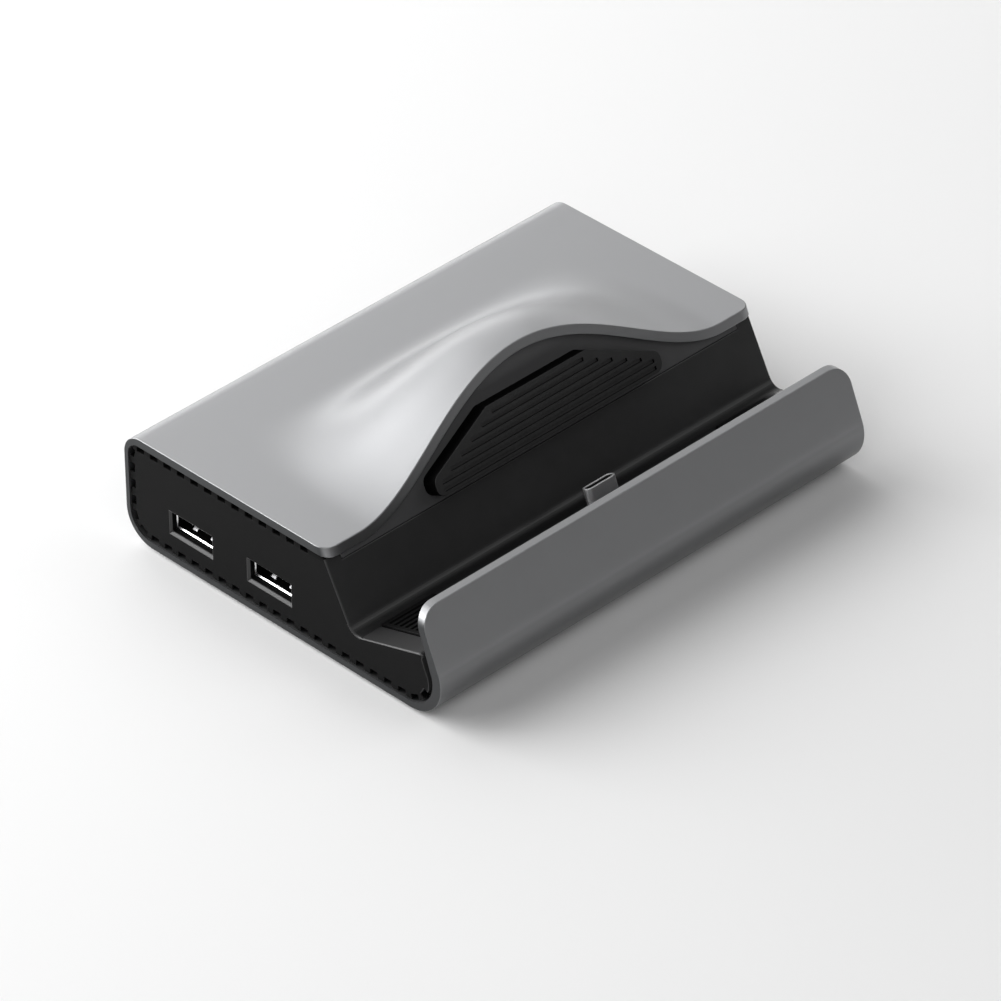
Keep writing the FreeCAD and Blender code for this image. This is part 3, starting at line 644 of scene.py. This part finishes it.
def make_shell():
    columns = 120
    plate_rows = shell_rows()
    outer_wrap, inner_wrap = wrap_points(False), wrap_points(True)
    count = len(plate_rows) + len(outer_wrap)
    bpy.ops.object.select_all(action="DESELECT")
    bpy.ops.mesh.primitive_grid_add(x_subdivisions=columns, y_subdivisions=count - 1, size=1)
    piece = bpy.context.object
    vertices = piece.data.vertices
    outer, inner = [], []
    for j in range(count):
        for i in range(columns + 1):
            share = 2 * i / columns - 1
            if j < len(plate_rows):
                row = plate_rows[j]
                draw = narrowed(row[1], plate_corner) if row[0] == "near" else 0.0
                x = share * (half_width - draw)
                outer.append((x, *plate_point(row, x, 0.0)))
                inner.append((x, *plate_point(row, x, plate)))
            else:
                y, z = outer_wrap[j - len(plate_rows)]
                y2, z2 = inner_wrap[j - len(plate_rows)]
                draw = narrowed((lip_top - z) / math.cos(lip_lean), lip_corner) if y < plate_y else 0.0
                x = share * (half_width - draw)
                outer.append((x, y, z))
                inner.append((x, y2, z2))
    lift = Vector((0, 0, foot_proud))
    for vertex, point in zip(vertices, outer):
        vertex.co = (Vector(point) + lift) * mm
    only(piece)
    sheet = piece.modifiers.new("sheet", "SOLIDIFY")
    sheet.thickness = plate * mm
    sheet.offset = -1.0
    bpy.ops.object.modifier_apply(modifier=sheet.name)
    half = len(outer)
    for k, point in enumerate(inner):
        piece.data.vertices[half + k].co = (Vector(point) + lift) * mm
    bpy.ops.object.mode_set(mode="EDIT")
    bpy.ops.mesh.select_all(action="SELECT")
    bpy.ops.mesh.normals_make_consistent(inside=False)
    bpy.ops.object.mode_set(mode="OBJECT")
    for x, y in screw_spots:
        for radius, low, high in ((screw_head_radius, -1.0, screw_head_depth), (screw_hole_radius, -1.0, 3.0)):
            drill(piece, x, y, low, high, radius)
    rounded_edges(piece, 0.16, 3, 25.0)
    finished(piece, "shell_sheet", shell_metal, ["metal_shell"])

    def on_inner_edge(centre, normal):
        inwards = (centre.y - 10) * normal.y + (centre.z - 13) * normal.z < 0
        return abs(centre.x) > half_width - 0.2 and 0.05 < abs(normal.x) < 0.99 and inwards

    # The rounds inside the sheet's ends take the near-black copy: painted shade.
    second_finish(piece, shell_inner_edge_shade, on_inner_edge)
    # The lip's top face takes the darker copy: painted shade.
    second_finish(
        piece, shell_lip_top_shade,
        lambda centre, normal: normal.z > 0.95 and centre.y < plate_y - 15 and centre.z > lip_top - 1)
    return piece


def cut_away(piece, cutter):
    only(piece)
    cut = piece.modifiers.new("hole", "BOOLEAN")
    cut.operation = "DIFFERENCE"
    cut.solver = "EXACT"
    cut.object = cutter
    bpy.ops.object.modifier_apply(modifier=cut.name)
    bpy.data.objects.remove(cutter)


def drill(piece, x, y, low, high, radius):
    """Cut a round upright hole."""
    middle = (low + high) / 2 + foot_proud
    bpy.ops.mesh.primitive_cylinder_add(
        vertices=48, radius=radius * mm, depth=(high - low) * mm, location=(x * mm, y * mm, middle * mm))
    cut_away(piece, bpy.context.object)


def sink(piece, x, y, low, high, across, along):
    """Cut a square-cornered upright hole."""
    middle = (low + high) / 2 + foot_proud
    bpy.ops.mesh.primitive_cube_add(size=1.0, location=(x * mm, y * mm, middle * mm))
    cutter = bpy.context.object
    cutter.scale = (across * mm, along * mm, (high - low) * mm)
    settled(cutter)
    cut_away(piece, cutter)


make_shell()


# Moulded pieces

def make_housing():
    """The housing, with wide rounds along the ends of its slope and ledge and small ones elsewhere."""
    piece = copy_of("housing")
    bpy.ops.object.mode_set(mode="EDIT")
    pick(lambda corner: abs(corner.x) > end_x - 0.01 and ledge_tip_y < corner.y < slope_top_y
         and corner.z > crease_z)
    bpy.ops.mesh.bevel(offset=0.5 * mm, segments=4, affect="EDGES", clamp_overlap=False)
    for y in (usb_rear_y, usb_front_y):
        for start, end, across, up, pivot in ((-61.5, -61.0, 0.897, 0.829, 6.98), (-61.0, -59.2, 0.917, 0.797, 7.44)):
            pick(lambda corner: start < corner.x < end and abs(corner.y - y) < 7.4
                 and abs(corner.z - usb_middle_z) < 3.7)
            bpy.ops.transform.resize(
                value=(1.0, across, up), center_override=(0, y * mm, (pivot + foot_proud) * mm))
    bpy.ops.object.mode_set(mode="OBJECT")
    rounded_edges(piece, 0.12, 2)
    finished(piece, "housing_moulding", housing_black, ["housing"])

    def off_the_notches(centre):
        return 5.5 < centre.z < 22 and centre.y < 41

    # The end walls and the rounds by the notches take the end walls' darker colour: painted shade.
    second_finish(
        piece, end_wall_shade,
        lambda centre, normal: abs(centre.x) > 60 and abs(normal.x) > 0.97
        or abs(centre.x) > 60.9 and not off_the_notches(centre))
    # The notched band along the end wall takes the near-black copy: painted shade.
    second_finish(
        piece, recess_shade, lambda centre, normal: 59.5 < abs(centre.x) < 60.9 and not off_the_notches(centre))
    # The ledge takes the darker copy of the housing's colour: painted shade.
    second_finish(
        piece, ledge_shade, lambda centre, normal: normal.z > 0.85 and centre.y < -20 and 6 < centre.z < 12)
    second_finish(
        piece, edge_black,
        lambda centre, normal: abs(centre.x) > 60.4 and 0.1 < abs(normal.x) < 0.97 and normal.z > 0.08
        and off_the_notches(centre))
    # The apertures' side walls take the near-black copy: painted shade.
    for face in piece.data.polygons:
        centre, normal = face.center / mm, face.normal
        if 59.2 < abs(centre.x) < 60.7 and abs(normal.x) < 0.1 and 5.5 < centre.z < 14 and -5 < centre.y < 41:
            face.material_index = list(piece.data.materials).index(recess_shade)
    return piece


make_housing()
moulded("rest_insert", "insert_moulding", insert_black, 0.15, 2)
pad = moulded("rest_pad", "rest_pad_rubber", rubber_black, 0.08, 2)
pad_face = max((corner.co / mm).dot(rest_normal) for corner in pad.data.vertices)


def sunk(centre):
    return pad_face - centre.dot(rest_normal)


# The groove floors take the lighter copy: painted light.
second_finish(pad, rib_floor_lightened_rubber, lambda centre, normal: 0.45 < sunk(centre) < groove_depth + 0.1)
# The groove walls take the darker copy: painted shade.
second_finish(
    pad, rib_wall_shaded_rubber,
    lambda centre, normal: 0.1 < sunk(centre) < groove_depth and normal.dot(rest_normal) < 0.5)
# The pad's side walls and the groove ends facing left take the near-black copy: painted shade.
second_finish(
    pad, pad_side_shade,
    lambda centre, normal: sunk(centre) > groove_depth + 0.1 or (sunk(centre) > 0.1 and normal.x < -0.5))
moulded("ledge_pad_left", "ledge_rubber_left", ledge_rubber, 0.08, 2)
moulded("ledge_pad_right", "ledge_rubber_right", ledge_rubber, 0.08, 2)
moulded("feet", "feet_rubber", foot_rubber, 0.12, 2)


# Plug and sockets

def flare_mouth(can):
    """Thicken a flat can's edge inwards at its mouth, and slant it outwards to the mouth."""
    corners = [corner.co / mm for corner in can.data.vertices]
    mouth = min(corner.x for corner in corners)
    half_y, half_z = ((max(c[i] for c in corners) - min(c[i] for c in corners)) / 2 - can_wall for i in (1, 2))
    middle_y, middle_z = ((max(c[i] for c in corners) + min(c[i] for c in corners)) / 2 for i in (1, 2))
    only(can)
    bpy.ops.object.mode_set(mode="EDIT")
    bpy.ops.mesh.select_all(action="SELECT")
    bpy.ops.mesh.bisect(plane_co=((mouth + mouth_flare) * mm, 0, 0), plane_no=(1, 0, 0))
    for depth, growth in ((mouth_flare, -mouth_roll), (0.0, mouth_flare)):
        pick(lambda corner: corner.x < mouth + depth + 0.02 and abs(corner.y - middle_y) < half_y + 0.02
             and abs(corner.z - middle_z) < half_z + 0.02)
        bpy.ops.transform.resize(
            value=(1.0, 1 + growth / half_y, 1 + growth / half_z),
            center_override=(mouth * mm, middle_y * mm, middle_z * mm))
    bpy.ops.object.mode_set(mode="OBJECT")


def roll_tip(tube):
    """Thicken the plug's edge inwards at its tip."""
    along = Vector((0, math.sin(lip_lean), math.cos(lip_lean)))
    through = Vector((0, math.cos(lip_lean), -math.sin(lip_lean)))
    corners = [corner.co / mm for corner in tube.data.vertices]
    tip = max(corner.dot(along) for corner in corners)
    ends = [corner for corner in corners if corner.dot(along) > tip - 0.02]
    middle = sum(ends, Vector()) / len(ends)
    middle.x = 0

    def off_the_middle(corner):
        return math.hypot(max(abs(corner.x) - plug_straight / 2, 0), (corner - middle).dot(through))

    bore = min(off_the_middle(corner) for corner in ends if abs(corner.x) < plug_straight / 2 + 0.02)
    bpy.ops.object.mode_set(mode="EDIT")
    pick(lambda corner: corner.dot(along) > tip - 0.02 and off_the_middle(corner) < bore + 0.1)
    thinner = 1 - tip_roll / bore
    bpy.ops.transform.resize(
        value=(1 - tip_roll / (plug_straight / 2 + bore), thinner, thinner), center_override=tuple(middle * mm))
    bpy.ops.object.mode_set(mode="OBJECT")


def make_can(node, name, side):
    """A socket's can, with a painted highlight at its mouth and painted shade inside."""
    shaped = flare_mouth if side < 0 else None
    can = moulded(node, name, socket_steel, 0.03, 2, shaped)
    low, high = (Vector(corner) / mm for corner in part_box(node))
    mouth = low.x if side < 0 else high.x
    # Width of the band at the mouth that is kept out of the painted shade inside.
    mouth_band = 0.35
    only(can)
    bpy.ops.object.mode_set(mode="EDIT")
    bpy.ops.mesh.select_all(action="SELECT")
    bpy.ops.mesh.bisect(plane_co=((mouth - side * mouth_band) * mm, 0, 0), plane_no=(1, 0, 0))
    bpy.ops.object.mode_set(mode="OBJECT")
    middle = (low + high) / 2
    inside = (high - low) / 2 - Vector((0, can_wall + 0.02, can_wall + 0.02))

    def is_inside(centre, normal):
        away = centre - middle
        return abs(centre.x - mouth) > mouth_band and abs(away.y) < inside.y and abs(away.z) < inside.z

    # The can's inside takes the near-black copy: painted shade.
    second_finish(can, socket_inside_shade, is_inside)
    # The band at the mouth takes the brighter copy: painted highlight.
    second_finish(can, mouth_highlight_steel, lambda centre, normal: abs(centre.x - mouth) < 0.26)
    return can


def make_usb_springs(y):
    """The two spring tabs that press up on a plug, in one socket."""
    route = [
        (usb_mouth_x + 1.5, usb_floor_z + 0.1), (usb_mouth_x + 1.8, usb_floor_z + 0.5),
        (usb_mouth_x + 2.15, usb_floor_z + 0.7), (usb_mouth_x + 2.6, usb_floor_z + 0.65),
        (usb_mouth_x + 5.5, usb_floor_z + 0.1)]
    rear = leaf(y + 2.4, 1.3, route, 0.2)
    return joined([rear, twin(rear, (0, -5.3, 0))])


def make_usb_contacts(y):
    """The four flat contacts under one socket's tongue."""
    level = usb_tongue_z - 0.03
    first = leaf(y + 3.5, 1.0, [(usb_mouth_x + 1.7, level), (usb_mouth_x + 8.0, level)], 0.12)
    return joined([first] + [twin(first, (0, step, 0)) for step in (-2.5, -4.5, -7.0)])


moulded("plug_shell", "plug_tube", plug_steel, 0.08, 3, roll_tip)
moulded("plug_insulator", "plug_core", insulator_black, 0.05, 2)
for end, y in (("rear", usb_rear_y), ("front", usb_front_y)):
    make_can("usb_socket_" + end, "usb_can_" + end, -1)
    moulded("usb_tongue_" + end, "usb_tongue_" + end + "_core", insulator_black, 0.08, 2)
    # The springs take the darker copy of the tinplate: painted shade.
    finished(make_usb_springs(y), "usb_springs_" + end, spring_steel_shade)
    finished(make_usb_contacts(y), "usb_contacts_" + end, contact_gold)
make_can("video_socket", "video_can", 1)
moulded("video_tongue", "video_core", insulator_black, 0.08, 2)
make_can("power_socket", "power_can", 1)
moulded("power_tongue", "power_core", insulator_black, 0.05, 2)
for name, tongue, width, pitch, counts, length in (
        ("video_contacts", "video_tongue", 0.55, 1.0, (10, 9), 6.0),
        ("power_contacts", "power_tongue", 0.22, 0.5, (12, 12), 3.2)):
    low, high = (Vector(corner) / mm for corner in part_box(tongue))
    y = (low.y + high.y) / 2
    rows = []
    for level, count in zip((low.z, high.z), counts):
        rows += contact_row(high.x, -1, y, level - foot_proud, width, pitch, count, length)
    finished(joined(rows), name, contact_gold)


def make_screws():
    """The case screws, each with a cross sunk in its head."""
    piece = copy_of("case_screws")
    for x, y in screw_spots:
        for across, along in ((2.4, 0.5), (0.5, 2.4)):
            sink(piece, x, y, -1.0, cross_depth, across, along)
    rounded_edges(piece, 0.06, 2)
    return finished(piece, "case_screw_set", screw_dark, ["case_screws"])


make_screws()


def painted(node, material):
    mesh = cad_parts[node].data
    mesh.materials.clear()
    mesh.materials.append(material)


painted("plug_carrier", insulator_black)
painted("plug_board", board_green)
painted("main_board", board_green)
painted("ribbon_cable", ribbon_film)
painted("ribbon_socket", connector_ivory)
painted("base_tray", tray_black)
painted("hub_chip", chip_black)
painted("video_chip", chip_black)
painted("power_chip", chip_black)
painted("coil", coil_grey)
